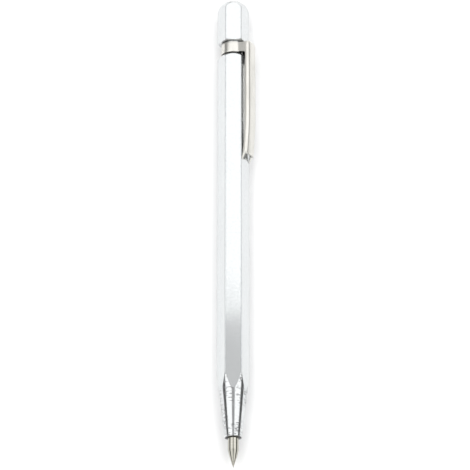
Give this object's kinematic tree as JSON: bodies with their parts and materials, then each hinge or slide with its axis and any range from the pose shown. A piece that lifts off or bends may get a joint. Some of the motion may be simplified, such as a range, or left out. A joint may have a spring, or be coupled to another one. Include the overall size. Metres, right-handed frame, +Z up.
{
  "type": "pocket scriber",
  "caption": "Pen-shaped metal scriber: hexagonal aluminium barrel with turned nose, hard-metal point, spring pocket clip and domed screw cap.",
  "frame": {"origin": "on the flat that the barrel rests on, below its axis, half way along the tool", "axes": "+Y along the tool from the point to the domed cap, +Z up from the surface it lies on, clip towards +X and up"},
  "size_m": [0.0111, 0.1428, 0.0089],
  "materials": {
    "satin_aluminium": "fine satin, turned bright on the nose",
    "ground_carbide": "ground",
    "plated_steel": "polished plating on pressed sheet"
  },
  "bodies": {
    "barrel": {"barrel": "satin_aluminium", "carbide_tip": "ground_carbide"},
    "clip": {"clip_band": "plated_steel"},
    "arm": {"clip_arm": "plated_steel"},
    "cap": {"end_cap": "satin_aluminium"}
  },
  "joints": [
    {"name": "cap_travel", "type": "slide", "parent": "barrel", "child": "clip", "axis": [0, 1, 0], "range_m": [0, 0.004]},
    {"name": "cap_turn", "type": "hinge", "parent": "clip", "child": "cap", "pos_m": [0, 0, 0.004], "axis": [0, 1, 0], "range_deg": [0, 1800]},
    {"name": "clip_flex", "type": "hinge", "parent": "clip", "child": "arm", "pos_m": [0.00546, 0.0534, 0.00715], "axis": [-0.5, 0, 0.866], "range_deg": [0, 4.5], "stiffness_Nm_per_rad": 0.05}
  ],
  "couplings": [
    {"joint": "cap_turn", "follows": "cap_travel", "rad_per_m": 7854}
  ]
}
